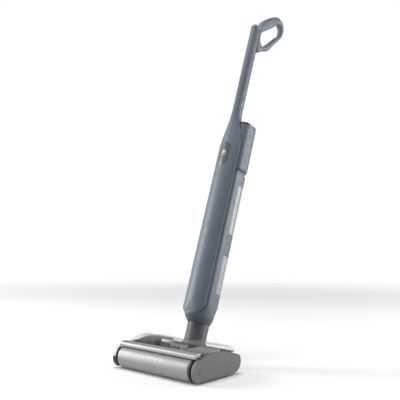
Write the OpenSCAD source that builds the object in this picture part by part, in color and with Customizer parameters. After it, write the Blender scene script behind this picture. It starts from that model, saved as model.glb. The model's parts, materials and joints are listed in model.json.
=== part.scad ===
// Upright wet and dry floor washer, millimetres, +Z up.
// Origin: on the floor, mid-width, at the middle of the squeegee's floor land.
// +X is the side with the removable roller cap, -Y is the front, where the roller is.

/* [Floor head] */
// Width of the head over both end caps
head_w = 296; // [240:1:360]
// Thickness of each end cap
cap_t = 10; // [8:0.5:12]
// Ground clearance under the head
belly_z = 5.5; // [4:0.5:8]
// Height of the head's deck over the floor
deck_z = 56; // [50:1:60]
// Distance from the squeegee forward to the roller axis
roller_gap = 46; // [44:1:60]
// Distance from the squeegee back to the rearmost point of the head
head_rear = 103.5; // [98:0.5:115]
// Radius of the head's rounded rear
rear_r = 27; // [24:0.5:28]
// Radius of the crown across the top of each end cap
crown_r = 240; // [200:5:300]
// Wall of the moulded parts of the head
head_wall = 3; // [2:0.5:4]
// Thickness of the steel base plate
base_plate_t = 8; // [4:0.5:8]

/* [Roller] */
// Outer radius of the roller's pile
roller_r = 29.5; // [26:0.5:32]
// Thickness of the pile and its backing
pile_t = 5.5; // [4:0.5:8]
// Wall of the roller's core tube
core_wall = 5; // [2:0.5:6]
// Gap between the pile and the head around it
roller_clear = 1.5; // [1:0.5:3]
// Length of the black ring on the roller's cap end
ring_len = 6; // [4:1:10]
// Radius of the roller's stub shaft
stub_r = 5; // [4:0.5:6]
// Radius of the round release button on the cap
release_r = 9.7; // [8:0.1:12]

/* [Clear cover] */
// Height of the cover's top over the floor
cover_top = 82.5; // [80:0.5:90]
// Radius of the arch of the cover, front to back
cover_arc = 150; // [130:5:170]
// Wall of the cover
cover_t = 2.5; // [1.5:0.5:3]

/* [Wheels] */
// Radius of each rear wheel
wheel_r = 12; // [11:0.5:14]
// Width of each rear wheel
wheel_w = 14; // [10:1:18]
// Distance of each wheel's middle from the inner face of its end cap
wheel_inset = 27; // [26:0.5:45]
// Radius of the wheel axles
axle_r = 3; // [2:0.5:4]

/* [Tilt and swivel] */
// Tilt pivot's distance behind the squeegee
pivot_y = 82; // [78:1:86]
// Tilt pivot's height
pivot_z = 46; // [42:1:48]
// Lean of the upright from the vertical at rest
lean = 19; // [0:1:40]
// Radius of the tilt pins
pin_r = 9; // [6:0.5:10]
// Radius of the neck tube
neck_r = 30; // [27:0.5:32]
// Wall of the neck tube
neck_wall = 3.2; // [2.5:0.1:4]
// Height of the neck's seam above the pivot
seam_s = 20; // [18:1:24]
// Running clearance of every pin, shaft and spigot
run_clear = 0.05; // [0.02:0.01:0.09]

/* [Upright] */
// Height of the bowl's bottom above the pivot
bowl_s = 70; // [64:1:76]
// Lower end of the front cover
front_s = 90; // [86:1:96]
// Half width of the tank housing
body_hw = 41; // [38:0.5:43]
// Rear of the tank housing behind the neck axis
body_rear = 34; // [30:0.5:38]
// Radius of the tank housing's rear corners
body_r = 27; // [20:0.5:27]
// Radius of the tank housing's front corners
body_front_r = 10; // [6:0.5:14]
// Front of the tank housing
body_front = -30; // [-32:0.5:-28]
// Wall of the upright's shells
shell_t = 2; // [1.6:0.1:2.6]
// Half width of the front cover
cover_hw = 39; // [36:0.5:40]
// Front face of the front cover
cover_front = -53; // [-55:0.5:-51]
// Half width of the stick
stick_hw = 13; // [11:0.5:15]
// Rear of the stick
stick_rear_v = -19; // [-20:0.5:-16]
// Top of the stick
stick_top = 1014; // [960:1:1060]
// Height where the front cover starts to narrow
flare_s = 590; // [580:1:600]
// Height over which the front cover narrows into the stick
flare_len = 115; // [100:1:120]

/* [Tanks] */
// Bottom of the dirty tank's window
dirty_s = 156; // [150:1:160]
// Height of the dirty tank
dirty_h = 148; // [130:1:149]
// Bottom of the clean tank's window
clean_s = 331; // [328:1:334]
// Height of the clean tank
clean_h = 160; // [130:1:162]
// Top of the tank housing
housing_top = 517; // [512:1:520]
// Front edge of the tank windows
window_v = -4; // [-8:0.5:0]
// Front of the tanks' hidden inner part
tank_front = -16; // [-18:0.5:-12]
// Wall of the tanks
tank_t = 2; // [1.5:0.1:2.5]
// Gap between a tank and its pocket
tank_clear = 0.5; // [0.3:0.1:1]

/* [Motor housing] */
// Bottom of the motor housing
motor_s = 529; // [525:1:533]
// Top of the motor housing
motor_top = 678; // [670:1:690]
// Rear of the motor housing
motor_rear = 39; // [34:0.5:42]
// Half width of the motor housing
motor_hw = 39; // [36:0.5:40]
// Radius of the motor housing's front corners
motor_front_r = 22; // [16:0.5:24]
// Height of the dark exhaust rim
rim_h = 6; // [4:0.5:8]

/* [Display and buttons] */
// Width of the oval display
display_w = 36; // [30:1:40]
// Height of the oval display
display_h = 74; // [60:1:80]
// Height of the display's middle above the pivot
display_s = 566; // [560:1:570]
// Radius of the handle's buttons
button_r = 6.5; // [5:0.5:8]
// Travel of the buttons
button_travel = 1.5; // [1:0.1:2]
// Gap around each button
button_clear = 0.35; // [0.3:0.05:0.5]

/* [Handle] */
// Width of the loop handle across its band
loop_w = 20; // [16:1:24]
// Thickness of the loop's top bar
grip_t = 29; // [22:0.5:30]
// Thickness of the loop's other bars
band_t = 15; // [12:0.5:17]
// Corner radius on the middle line of the loop
loop_r = 12; // [10:1:16]
// Wall of the hollow loop
loop_wall = 2.6; // [2:0.1:4]

/* [Hidden] */
$fn = 96;
eps = 0.01;
hull_fn = 32;

roller_y = -roller_gap;
roller_z = roller_r;
half_w = head_w / 2;
wall_x = half_w - cap_t;
bay_r = roller_r + roller_clear;
crown_y = 8;
crown_top = 66.8;
rear_y = head_rear - rear_r;
rear_z = belly_z + rear_r + 1;
bay_rear = roller_y + bay_r + head_wall;
notch_hw = neck_r + 7;
ear_t = 6;
notch_y = pivot_y - neck_r - 10;
wheel_y = head_rear - wheel_r - 0.5;
wheel_x = wall_x - wheel_inset;
bay_gap = 2;
roller_end = wall_x - head_wall - 4;
core_r = roller_r - pile_t;
squeegee_t = 2.4;
arch_y = 26;
arch_z = cover_top - cover_arc;
seam_gap = 0.4;
groove_v = cover_front + 22;
stick_groove = cover_front + 12.5;
head_skin = 0.4;
side_in = wall_x - head_wall;
belly_top = belly_z + head_wall;
plate_top = belly_top + base_plate_t;
lip_depth = 9;
deck_t = 2.4;
deck_top = deck_z + deck_t;
screw_x = [-95, -58, 58, 95];
screw_y = 18;
contact_x = [60, 66];
contact_z = [24, 30];
scraper_z = 22;
scraper_t = 3;
scraper_gap = 0.6;

// Drive: two equal pulleys at the left end of the head.
pulley_r = 8;
pulley_w = 5;
belt_t = 1.6;
belt_gap = 0.25;
motor_y = 28;
motor_z = 37;
motor_x = 21 - side_in;
motor_len = 56;
motor_nose = 6;
shaft_r = 2.5;
dog_r = 9;
dog_clear = 0.6;
pulley_x = -half_w + 2.4;

// Front cover: share of the half width the crown covers and of the depth it takes.
bevel_at = 0.69;
crown_share = 0.36;
crown_steps = 12;
end_r = 30;

// Clear cover: its front and rear edges and its notch for the neck.
cover_front_y = roller_y + 6.5;
cover_rear_y = head_rear - 11;
cover_notch = notch_hw + 3;
cover_notch_y = notch_y - 8;
left_split = 33;

// Neck: yoke drum, collar, and the spigot the upright swivels on.
yoke_w = 2 * (notch_hw - 0.6);
yoke_r = seam_s - 0.5;
collar_s = seam_s - 5;
spigot_r = neck_r - neck_wall;
hose_r = 15;

// Tank lids, release tab and pump shelf.
clean_lid_h = 12;
dirty_lid_h = 37;
tab_s = dirty_s + dirty_h - 26;
tab_h = 18;
tab_w = 24;
tab_depth = 3;
pump_s = dirty_s + dirty_h + tank_clear + shell_t;

// Frame bar, boards and battery cells under the front cover.
spine_v = groove_v - 1.2;
board_t = 1.6;
cell_r = 9;
cell_len = 65;
cell_pitch = 18.6;
cells_s = front_s + 20;
cells_end = cells_s + 3 * (cell_len + 1);

// Handle loop: middle-line corners as [v, s] from the top of the stick.
loop_pts = [[-28, 0], [74, 105], [96, 44], [16, -52]];
foot_pts = [[stick_rear_v - 1, -78], [-6, -75], [20, -50], [stick_rear_v - 1, 0]];
grip_dir = atan2(loop_pts[1][1] - loop_pts[0][1], loop_pts[1][0] - loop_pts[0][0]);
grip_len = norm(loop_pts[1] - loop_pts[0]);
button_at = [34, 56, 78];

steel = [0.62, 0.63, 0.65];
blue = [0.40, 0.45, 0.51];
blue_dark = [0.32, 0.37, 0.43];
grey = [0.30, 0.30, 0.31];
black = [0.07, 0.07, 0.08];
clear = [0.85, 0.88, 0.90, 0.35];

// Placing

// Carries a shape drawn about the neck axis to the leaning upright.
module on_upright() {
    translate([0, pivot_y, pivot_z]) rotate([-lean, 0, 0]) children();
}

// Turns a [Y, Z] outline into a slab from x0 to x1.
module across(x0, x1) {
    translate([x0, 0, 0]) rotate([90, 0, 90]) linear_extrude(x1 - x0) children();
}

// A cylinder along X.
module rod_x(r, x0, x1, y, z) {
    translate([x0, y, z]) rotate([0, 90, 0]) cylinder(r = r, h = x1 - x0);
}

// A box from its low corner to its high corner.
module block(a, b) {
    translate(a) cube([b[0] - a[0], b[1] - a[1], b[2] - a[2]]);
}

// A slab of an outline between two heights.
module slab(s0, s1) {
    translate([0, 0, s0]) linear_extrude(s1 - s0) children();
}

module both_sides() {
    children();
    mirror([1, 0, 0]) children();
}

// Outlines

// Side view of the head: round nose, crowned top, round rear, flat belly.
module head_outline(inset = 0) {
    intersection() {
        translate([crown_y, crown_top - crown_r]) circle(r = crown_r - inset, $fn = 360);
        union() {
            translate([roller_y, roller_z]) circle(r = roller_r + 0.7 - inset);
            translate([rear_y, rear_z]) circle(r = rear_r - inset);
            translate([roller_y, belly_z]) square([rear_y - roller_y, crown_top]);
        }
        translate([-200, belly_z + inset]) square([400, 200]);
    }
}

// Section of each housing on the upright: rounded more at the rear than at the front.
module d_section(hw, front, rear, front_r, rear_r, inset = 0) {
    w = hw - inset;
    translate([-w, front + front_r]) square([2 * w, rear - rear_r - front - front_r]);
    for (side = [-1, 1]) {
        translate([side * (hw - rear_r), rear - rear_r]) circle(r = rear_r - inset);
        translate([side * (hw - front_r), front + front_r]) circle(r = front_r - inset);
    }
    translate([rear_r - hw, rear - rear_r - eps]) square([2 * (hw - rear_r), rear_r - inset + eps]);
    translate([front_r - hw, front + inset]) square([2 * (hw - front_r), front_r - inset + eps]);
}

module housing_section(inset = 0) {
    d_section(body_hw, body_front, body_rear, body_front_r, body_r, inset);
}

module motor_section(inset = 0) {
    d_section(motor_hw, body_front, motor_rear, motor_front_r, body_r - 1, inset);
}

// Front cover: crowned face between two bevels, from [half width, front, groove].
function face(hw, front, groove) = concat(
    [[-hw, groove]],
    [for (i = [0 : crown_steps])
        let (q = 2 * i / crown_steps - 1)
        [bevel_at * hw * q, front + crown_share * (groove - front) * q * q]],
    [[hw, groove]]);

module front_slice(k, inset = 0) {
    polygon(face(k[0] - inset, k[1] + inset, k[2] + (inset > 0 ? 1 : 0)));
}

body_face = [cover_hw, cover_front, groove_v];
mid_face = [0.82 * cover_hw, cover_front, groove_v - 2.5];
neck_face = [0.52 * cover_hw, cover_front, groove_v - 6.5];
stick_face = [stick_hw, cover_front, stick_groove];

// Closed loft of two front-cover sections.
module front_loft(s0, k0, s1, k1, inset = 0) {
    hull() {
        slab(s0, s0 + eps) front_slice(k0, inset);
        slab(s1 - eps, s1) front_slice(k1, inset);
    }
}

// Front cover seen from the front: wide rounded lower end, narrow rounded top.
module front_mask(grow = 0) {
    rotate([90, 0, 0]) linear_extrude(120) {
        translate([-60, front_s + end_r]) square([120, stick_top - front_s - end_r - stick_hw + 4]);
        for (side = [-1, 1])
            translate([side * (cover_hw - end_r), front_s + end_r]) circle(end_r + grow);
        translate([end_r - cover_hw, front_s - grow]) square([2 * (cover_hw - end_r), 2 * end_r]);
        translate([0, stick_top - stick_hw]) circle(stick_hw);
        translate([-stick_hw, stick_top - stick_hw - 6]) square([2 * stick_hw, 6]);
    }
}

module oval(w, h) {
    for (side = [-1, 1]) translate([0, side * (h - w) / 2]) circle(w / 2);
    square([w, h - w], center = true);
}

// Head

module head_chassis() {
    bay_half = wheel_w / 2 + bay_gap;
    color(grey) difference() {
        union() {
            difference() {
                across(-wall_x, wall_x) head_outline(head_skin);
                // room for the roller and everything in front of it
                rod_x(bay_r, -side_in, wall_x + eps, roller_y, roller_z);
                block([-side_in, -200, -1], [side_in, roller_y, 200]);
                block([-side_in, -200, -1], [side_in, bay_rear - head_wall, roller_z]);
                block([-side_in, -200, roller_z], [side_in, bay_rear - lip_depth, 200]);
                // open top and hollow inside
                block([-side_in, -200, deck_z], [side_in, 200, 200]);
                difference() {
                    block([-side_in, bay_rear, belly_top], [side_in, head_rear - head_wall, 200]);
                    both_sides() block([notch_hw, notch_y - ear_t, 0], [notch_hw + ear_t, 200, 200]);
                    block([-notch_hw, notch_y - ear_t, 0], [notch_hw, notch_y, 200]);
                }
            }
            both_sides() block([wheel_x - bay_half - head_wall, wheel_y - wheel_r, belly_z],
                [wheel_x + bay_half + head_wall, head_rear - head_wall, 2 * wheel_r - 1]);
        }
        // notch for the neck
        block([-notch_hw, notch_y, belly_top], [notch_hw, 200, 200]);
        rod_x(pin_r, -60, 60, pivot_y, pivot_z);
        // wheel bays and axle holes
        both_sides() block([wheel_x - bay_half, wheel_y - wheel_r - bay_gap, 0],
            [wheel_x + bay_half, 200, 2 * wheel_r + bay_gap]);
        both_sides() rod_x(axle_r, wheel_x - wheel_w, wheel_x + wheel_w, wheel_y, wheel_r);
        // squeegee and scraper slots
        block([-roller_end, -squeegee_t / 2, 0], [roller_end, squeegee_t / 2, belly_top + 1]);
        block([-roller_end, bay_rear - head_wall - 1, scraper_z],
            [roller_end, bay_rear + 1, scraper_z + scraper_t]);
        // passages for the motor shaft and the roller's drive dog through the left wall
        rod_x(shaft_r + 1.5, -wall_x - 1, 1 - side_in, motor_y, motor_z);
        rod_x(dog_r + 1, -wall_x - 1, 1 - side_in, roller_y, roller_z);
        both_sides() block([contact_x[0], rear_y, contact_z[0]], [contact_x[1], 200, contact_z[1]]);
        // seat of the front strip
        across(-wall_x - 1, wall_x + 1) strip_outline();
    }
}

module head_deck() {
    color(grey) difference() {
        block([0.3 - side_in, bay_rear - lip_depth, deck_z], [side_in - 0.3, rear_y + 16, deck_top]);
        block([-notch_hw - 1, notch_y - 1, 0], [notch_hw + 1, 200, 200]);
        rod_x(bay_r, -200, 200, roller_y, roller_z);
    }
}

// Steel plate on the floor of the head, with two arms beside the notch.
module base_plate() {
    front = squeegee_t + 4;
    color(steel) difference() {
        union() {
            block([3 - roller_end, front, belly_top], [roller_end - 3, notch_y - ear_t - 1, plate_top]);
            both_sides() block([notch_hw + ear_t + 1, notch_y - ear_t - 2, belly_top],
                [roller_end - 3, wheel_y - wheel_r - bay_gap - head_wall - 1, plate_top]);
        }
        for (x = screw_x) translate([x, screw_y, 0]) cylinder(r = 1.6, h = 40);
    }
}

module base_screws() {
    color(steel) for (x = screw_x) translate([x, screw_y, belly_top]) {
        cylinder(r = 1.6, h = base_plate_t);
        translate([0, 0, base_plate_t]) cylinder(r = 3, h = 2);
    }
}

// Section of the strip over the roller.
module strip_outline() {
    polygon([[roller_y + 6, 71.5], [roller_y - 8, 69.2], [roller_y - 14, 58],
        [roller_y - 14, 54], [roller_y + 6, 54]]);
    translate([roller_y - 10.2, 64.6]) circle(5);
}

module front_strip() {
    color(steel) difference() {
        across(-wall_x, wall_x) strip_outline();
        rod_x(bay_r, -side_in, 200, roller_y, roller_z);
    }
}

// Water bar behind the strip with a row of nozzles.
module spray_bar() {
    y = roller_y + 19;
    z = deck_z + 6.5;
    color(black) {
        rod_x(3, -side_in, side_in, y, z);
        for (x = [-60 : 40 : 60]) block([x - 3, y - 6, z - 4], [x + 3, y, z]);
    }
}

// Blade that wipes the roller, held in a slot of the bay's rear wall.
module scraper() {
    reach = sqrt(roller_r * roller_r - pow(roller_z - scraper_z - scraper_t, 2));
    color(black) block([-roller_end, roller_y + reach + scraper_gap, scraper_z],
        [roller_end, bay_rear + 1, scraper_z + scraper_t]);
}

module squeegee() {
    color(black) {
        block([-roller_end, -squeegee_t / 2, 0], [roller_end, squeegee_t / 2, belly_top]);
        block([-roller_end, -squeegee_t, belly_top], [roller_end, squeegee_t, belly_top + 6]);
    }
}

// Flat mouth behind the roller that narrows to the neck.
module suction_duct() {
    top = deck_z - 4;
    floor_z = plate_top;
    color(grey) difference() {
        translate([0, 0, floor_z]) linear_extrude(top - floor_z)
            polygon([[-52, 5], [52, 5], [26, notch_y - ear_t], [-26, notch_y - ear_t]]);
        translate([0, 0, floor_z + 2]) linear_extrude(top - floor_z - 4)
            polygon([[-50, 0], [50, 0], [24, notch_y], [-24, notch_y]]);
    }
}

module motor_cover() {
    color(grey) intersection() {
        translate([0, arch_y, arch_z])
            rod_x(cover_arc - cover_t - 2.5, motor_x - 4, motor_x + motor_len, 0, 0);
        block([motor_x - 4, -6, deck_top], [motor_x + motor_len, 66, 90]);
    }
}

module deck_ribs() {
    color(steel) {
        for (x = [-46 : 12 : 28]) block([x, 2, deck_top], [x + 2, 30, deck_z + 12]);
        rod_x(8, -50, -14, 18, deck_z + 15);
        block([46, 4, deck_top], [side_in - 23, 62, deck_z + 7]);
    }
}

module roller_motor() {
    color(steel) {
        rod_x(17, motor_x, motor_x + motor_len, motor_y, motor_z);
        rod_x(9, motor_x - motor_nose, motor_x, motor_y, motor_z);
        block([motor_x + 10, motor_y - 5, plate_top],
            [motor_x + motor_len - 10, motor_y + 5, motor_z - 12]);
    }
}

module rotor() {
    color(black) {
        rod_x(shaft_r, pulley_x, motor_x - motor_nose, motor_y, motor_z);
        rod_x(pulley_r, pulley_x, pulley_x + pulley_w, motor_y, motor_z);
    }
}

module drive_pulley() {
    color(black) {
        rod_x(pulley_r, pulley_x, pulley_x + pulley_w, roller_y, roller_z);
        rod_x(6, pulley_x, 1 - wall_x, roller_y, roller_z);
        translate([1 - wall_x, roller_y, roller_z]) rotate([0, 90, 0])
            cylinder(r = dog_r, h = 12, $fn = 6);
    }
}

// Belt round the two equal pulleys.
module drive_belt() {
    dy = motor_y - roller_y;
    dz = motor_z - roller_z;
    span = sqrt(dy * dy + dz * dz);
    r0 = pulley_r + belt_gap;
    r1 = r0 + belt_t;
    color(black) translate([pulley_x + 0.3, roller_y, roller_z]) rotate([atan2(dz, dy), 0, 0])
        rotate([90, 0, 90]) linear_extrude(pulley_w - 0.6) difference() {
            union() {
                circle(r1);
                translate([span, 0]) circle(r1);
                translate([0, -r1]) square([span, 2 * r1]);
            }
            circle(r0);
            translate([span, 0]) circle(r0);
            translate([0, -r0]) square([span, 2 * r0]);
        }
}

// Outline of an end cap, hollow behind its face.
module end_cap_shell(x0, x1, open_x0, open_x1) {
    difference() {
        across(x0, x1) head_outline();
        across(open_x0, open_x1) head_outline(2);
    }
}

module left_cap_lower() {
    color(black) intersection() {
        end_cap_shell(-half_w, -wall_x, 1.8 - half_w, eps - wall_x);
        block([-200, -200, 0], [0, 200, left_split]);
    }
}

module left_cap_upper() {
    color(clear) intersection() {
        end_cap_shell(-half_w, -wall_x, 1.8 - half_w, eps - wall_x);
        block([-200, -200, left_split], [0, 200, 200]);
    }
}

module side_cap() {
    color([0.42, 0.42, 0.43]) difference() {
        union() {
            end_cap_shell(wall_x + 0.3, half_w, wall_x, half_w - 3);
            rod_x(stub_r + 5.5, wall_x + 0.3, half_w, roller_y, roller_z);
        }
        rod_x(stub_r + 3.5, wall_x - 1, wall_x + 5.3, roller_y, roller_z);
        rod_x(release_r + button_clear, half_w - 3.3, 200, roller_y, roller_z);
    }
}

module release_button() {
    color([0.42, 0.42, 0.43])
        rod_x(release_r, half_w - 0.9, half_w + 0.3, roller_y, roller_z);
}

module side_bearing() {
    color(steel) difference() {
        rod_x(stub_r + 3.5, wall_x + 0.5, wall_x + 5.3, roller_y, roller_z);
        rod_x(stub_r + run_clear, wall_x - 1, wall_x + 6, roller_y, roller_z);
    }
}

module roller_core() {
    color([0.75, 0.75, 0.75]) difference() {
        rod_x(core_r, -roller_end, roller_end, roller_y, roller_z);
        rod_x(core_r - core_wall, -200, 200, roller_y, roller_z);
    }
}

module roller_sleeve() {
    color([0.66, 0.66, 0.67]) difference() {
        rod_x(roller_r, -roller_end + 1, roller_end - ring_len, roller_y, roller_z);
        rod_x(core_r, -200, 200, roller_y, roller_z);
    }
}

module roller_ring() {
    color(black) difference() {
        rod_x(roller_r - 1.5, roller_end - ring_len, roller_end, roller_y, roller_z);
        rod_x(core_r, 0, 200, roller_y, roller_z);
    }
}

module roller_hub() {
    color(black) difference() {
        rod_x(core_r - core_wall, -roller_end, 14 - roller_end, roller_y, roller_z);
        translate([-200, roller_y, roller_z]) rotate([0, 90, 0])
            cylinder(r = dog_r + dog_clear, h = 200 - roller_end + 10, $fn = 6);
    }
}

module roller_stub() {
    color(steel) {
        rod_x(core_r - core_wall, roller_end - 10, roller_end, roller_y, roller_z);
        rod_x(stub_r, roller_end, wall_x + 5, roller_y, roller_z);
    }
}

module rear_wheel_left() {
    color(black) mirror([1, 0, 0]) wheel();
}

module rear_wheel_right() {
    color(black) wheel();
}

module wheel() {
    difference() {
        rod_x(wheel_r, wheel_x - wheel_w / 2, wheel_x + wheel_w / 2, wheel_y, wheel_r);
        rod_x(axle_r + run_clear, 0, 200, wheel_y, wheel_r);
    }
}

module wheel_axles() {
    reach = wheel_w / 2 + bay_gap + head_wall - 0.2;
    color(steel) both_sides() rod_x(axle_r, wheel_x - reach, wheel_x + reach, wheel_y, wheel_r);
}

module charging_contacts() {
    color([0.8, 0.65, 0.3]) both_sides() block([contact_x[0], head_rear - 12, contact_z[0]],
        [contact_x[1], head_rear - 2, contact_z[1]]);
}

// Clear arched cover, open below, with a notch for the neck.
module cover_shape(inset) {
    intersection() {
        across(inset - wall_x + 0.4, wall_x - inset - 0.4) intersection() {
            translate([arch_y, arch_z]) circle(r = cover_arc - inset, $fn = 360);
            translate([cover_front_y + inset, 0]) square([cover_rear_y - cover_front_y - 2 * inset, 120]);
        }
        block([-200, -200, inset > 0 ? 0 : deck_z + 3], [200, 200, 200]);
    }
}

module head_cover() {
    color(clear) difference() {
        cover_shape(0);
        difference() {
            cover_shape(cover_t);
            both_sides() block([cover_notch, cover_notch_y, 0], [cover_notch + cover_t, 200, 200]);
            block([-cover_notch - cover_t, cover_notch_y - cover_t, 0],
                [cover_notch + cover_t, cover_notch_y, 200]);
        }
        block([-cover_notch, cover_notch_y, 0], [cover_notch, 200, 200]);
        // keeps clear of the crowned walls of the chassis
        across(-200, 200) head_outline(-0.6);
    }
}

module cover_latches() {
    color(black) intersection() {
        for (x = [-4, 38])
            translate([x, cover_front_y + cover_t + 3, deck_z + 8]) cylinder(r = 2.8, h = 30);
        cover_shape(cover_t);
    }
}

// Yoke

module yoke() {
    color(grey) difference() {
        union() {
            rod_x(yoke_r, -yoke_w / 2, yoke_w / 2, pivot_y, pivot_z);
            on_upright() cylinder(r = neck_r - 0.5, h = collar_s);
            on_upright() translate([0, 0, collar_s]) cylinder(r = spigot_r - run_clear, h = 34);
        }
        on_upright() translate([0, 0, -9]) cylinder(r = hose_r, h = 100);
        rod_x(pin_r - run_clear, -60, 60, pivot_y, pivot_z);
    }
}

// Hollow pins that turn in the head's two ears.
module tilt_pins() {
    color(steel) both_sides() difference() {
        rod_x(pin_r - run_clear, hose_r + 3, notch_hw + ear_t - 1, pivot_y, pivot_z);
        rod_x(pin_r - 3, 0, 60, pivot_y, pivot_z);
    }
}

module neck_collar() {
    color(grey) on_upright() difference() {
        union() {
            translate([0, 0, collar_s]) cylinder(r = neck_r + 2, h = 5);
            translate([0, 0, collar_s - 5]) cylinder(r1 = neck_r + 4, r2 = neck_r + 2, h = 5);
        }
        translate([0, 0, collar_s - 6]) cylinder(r = neck_r - 0.5, h = 6);
        translate([0, 0, collar_s - 1]) cylinder(r = spigot_r - run_clear, h = 10);
        rod_x(yoke_r, -60, 60, 0, 0);
    }
}

module suction_hose() {
    color(black) on_upright() difference() {
        cylinder(r = hose_r, h = bowl_s - 2);
        translate([0, 0, -1]) cylinder(r = hose_r - 1.5, h = bowl_s + 2);
    }
}

// Upright

module neck_tube() {
    color(grey) on_upright() difference() {
        union() {
            translate([0, 0, seam_s + seam_gap]) cylinder(r = neck_r + run_clear, h = bowl_s - seam_s + 6);
            translate([0, 0, seam_s + seam_gap]) cylinder(r = neck_r + 0.8, h = 3);
        }
        translate([0, 0, seam_s]) cylinder(r = spigot_r, h = bowl_s);
    }
}

// Bowl under the tank housing, in two rounded steps.
module bowl() {
    mid_s = bowl_s + 10;
    hull() {
        slab(bowl_s, bowl_s + eps) circle(neck_r + 1, $fn = hull_fn);
        slab(mid_s, mid_s + eps) translate([0, -4]) circle(neck_r + 6.5, $fn = hull_fn);
    }
    hull() {
        slab(mid_s, mid_s + eps) translate([0, -4]) circle(neck_r + 6.5, $fn = hull_fn);
        slab(front_s - eps, front_s) {
            d_section(body_hw, body_front, body_rear, body_front_r, body_r, $fn = hull_fn);
            translate([0, body_front + 12]) circle(cover_hw - 3, $fn = hull_fn);
        }
    }
}

// Two corners that frame the rounded lower end of the front cover.
module bowl_corners() {
    difference() {
        slab(front_s - eps, front_s + end_r)
            front_slice([cover_hw - 0.6, cover_front + 1, body_front + 0.6]);
        front_mask(seam_gap);
    }
}

// Room for a tank: the full width behind the window edge, narrower in front of it.
module tank_pocket(s0, h) {
    low = s0 - tank_clear;
    high = s0 + h + tank_clear;
    block([-60, window_v - tank_clear, low], [60, 80, high]);
    block([-body_hw + 5, tank_front - tank_clear, low], [body_hw - 5, 80, high]);
}

module tank_housing() {
    wall_v = tank_front - tank_clear;
    color(blue) on_upright() difference() {
        union() {
            bowl();
            bowl_corners();
            slab(front_s, housing_top) housing_section();
        }
        // hollow ahead of the tanks, with shelves above and below each and a wall in front
        difference() {
            slab(front_s, housing_top - shell_t) housing_section(shell_t);
            for (k = [[dirty_s, dirty_h], [clean_s, clean_h]]) {
                low = k[0] - shell_t - tank_clear;
                high = k[0] + k[1] + tank_clear;
                slab(low, low + shell_t) housing_section();
                slab(high, high + shell_t) housing_section();
                block([-60, wall_v - shell_t, low], [60, wall_v, high]);
            }
        }
        cylinder(r = neck_r + run_clear, h = bowl_s + 7);
        translate([0, 0, bowl_s + 6]) cylinder(r = neck_r - 2, h = front_s - bowl_s);
        tank_pocket(dirty_s, dirty_h);
        tank_pocket(clean_s, clean_h);
    }
}

module release_tab() {
    color(blue_dark) on_upright() intersection() {
        slab(tab_s, tab_s + tab_h) housing_section(0);
        block([-tab_w / 2, body_rear - tab_depth, 0], [tab_w / 2, 80, 1000]);
    }
}

// Hollow cover down the whole front, narrowing into the front of the stick.
module front_cover() {
    s1 = flare_s + 0.35 * flare_len;
    s2 = flare_s + 0.65 * flare_len;
    s3 = flare_s + flare_len;
    color(blue) on_upright() intersection() {
        front_mask();
        difference() {
            union() {
                slab(front_s, flare_s) front_slice(body_face);
                front_loft(flare_s, body_face, s1, mid_face);
                front_loft(s1, mid_face, s2, neck_face);
                front_loft(s2, neck_face, s3, stick_face);
                slab(s3, stick_top) front_slice(stick_face);
            }
            slab(front_s + 2 * shell_t, flare_s) front_slice(body_face, shell_t);
            front_loft(flare_s - eps, body_face, s2, neck_face, shell_t);
            front_loft(s2, neck_face, s3, stick_face, shell_t);
            slab(s3 - eps, stick_top - stick_hw) front_slice(stick_face, shell_t);
            translate([0, 0, display_s]) rotate([90, 0, 0])
                linear_extrude(80) oval(display_w, display_h);
        }
    }
}

// Oval display following the crown of the front cover.
module display_window() {
    color(black) on_upright() intersection() {
        difference() {
            slab(display_s - 60, display_s + 60) front_slice([cover_hw, cover_front + 0.3, groove_v]);
            slab(display_s - 61, display_s + 61) front_slice([cover_hw, cover_front + 0.3, groove_v], 2);
        }
        translate([0, 0, display_s]) rotate([90, 0, 0]) linear_extrude(80) oval(display_w, display_h);
    }
}

module display_board() {
    color([0.1, 0.35, 0.2]) on_upright() block([-14, spine_v - board_t, display_s - display_h / 2],
        [14, spine_v, display_s + display_h / 2 - 16]);
}

module motor_housing() {
    color(blue) on_upright() difference() {
        union() {
            slab(motor_s, motor_top - rim_h) motor_section();
            slab(housing_top, motor_s) motor_section(5);
        }
        slab(motor_s + shell_t, motor_top) motor_section(shell_t);
        translate([0, 4, housing_top - 1]) cylinder(r = 18, h = 30);
    }
}

module exhaust_rim() {
    color(black) on_upright() difference() {
        slab(motor_top - rim_h, motor_top) motor_section(1.2);
        for (v = [-16 : 7 : 26]) block([-24, v, 0], [24, v + 3, 1000]);
    }
}

module stick_back() {
    s3 = flare_s + flare_len;
    tongue_hw = stick_hw - shell_t - 1.4;
    color(blue) on_upright() difference() {
        union() {
            slab(motor_top, stick_top - 8)
                d_section(stick_hw, stick_groove + 1, stick_rear_v, 1, 9);
            slab(flare_s, motor_top) translate([-stick_hw + 2, groove_v + 0.2])
                square([2 * stick_hw - 4, body_front - groove_v - 0.2]);
            slab(s3, stick_top - 16) translate([-tongue_hw, stick_groove - 1]) square([2 * tongue_hw, 2.5]);
        }
        slab(motor_top + shell_t, stick_top - 60)
            d_section(stick_hw, stick_groove - 2, stick_rear_v, 3, 9, shell_t);
    }
}

// Long internal frame bar that the shells are fixed to.
module spine() {
    color(steel) on_upright() block([-4, spine_v, front_s + 12], [4, body_front, flare_s]);
}

// The loop's bars: a round-cornered frame with a thicker top bar.
module loop_shape() {
    t = band_t / 2;
    g = grip_t / 2;
    difference() {
        union() {
            offset(r = loop_r + t) offset(delta = -loop_r) polygon(loop_pts);
            grip_bar(g);
            polygon(foot_pts);
        }
        offset(r = loop_r - t) offset(delta = -loop_r) difference() {
            polygon(loop_pts);
            grip_bar(g - t);
        }
        translate([stick_rear_v - 40, -200]) square([40, 400]);
    }
}

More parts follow.
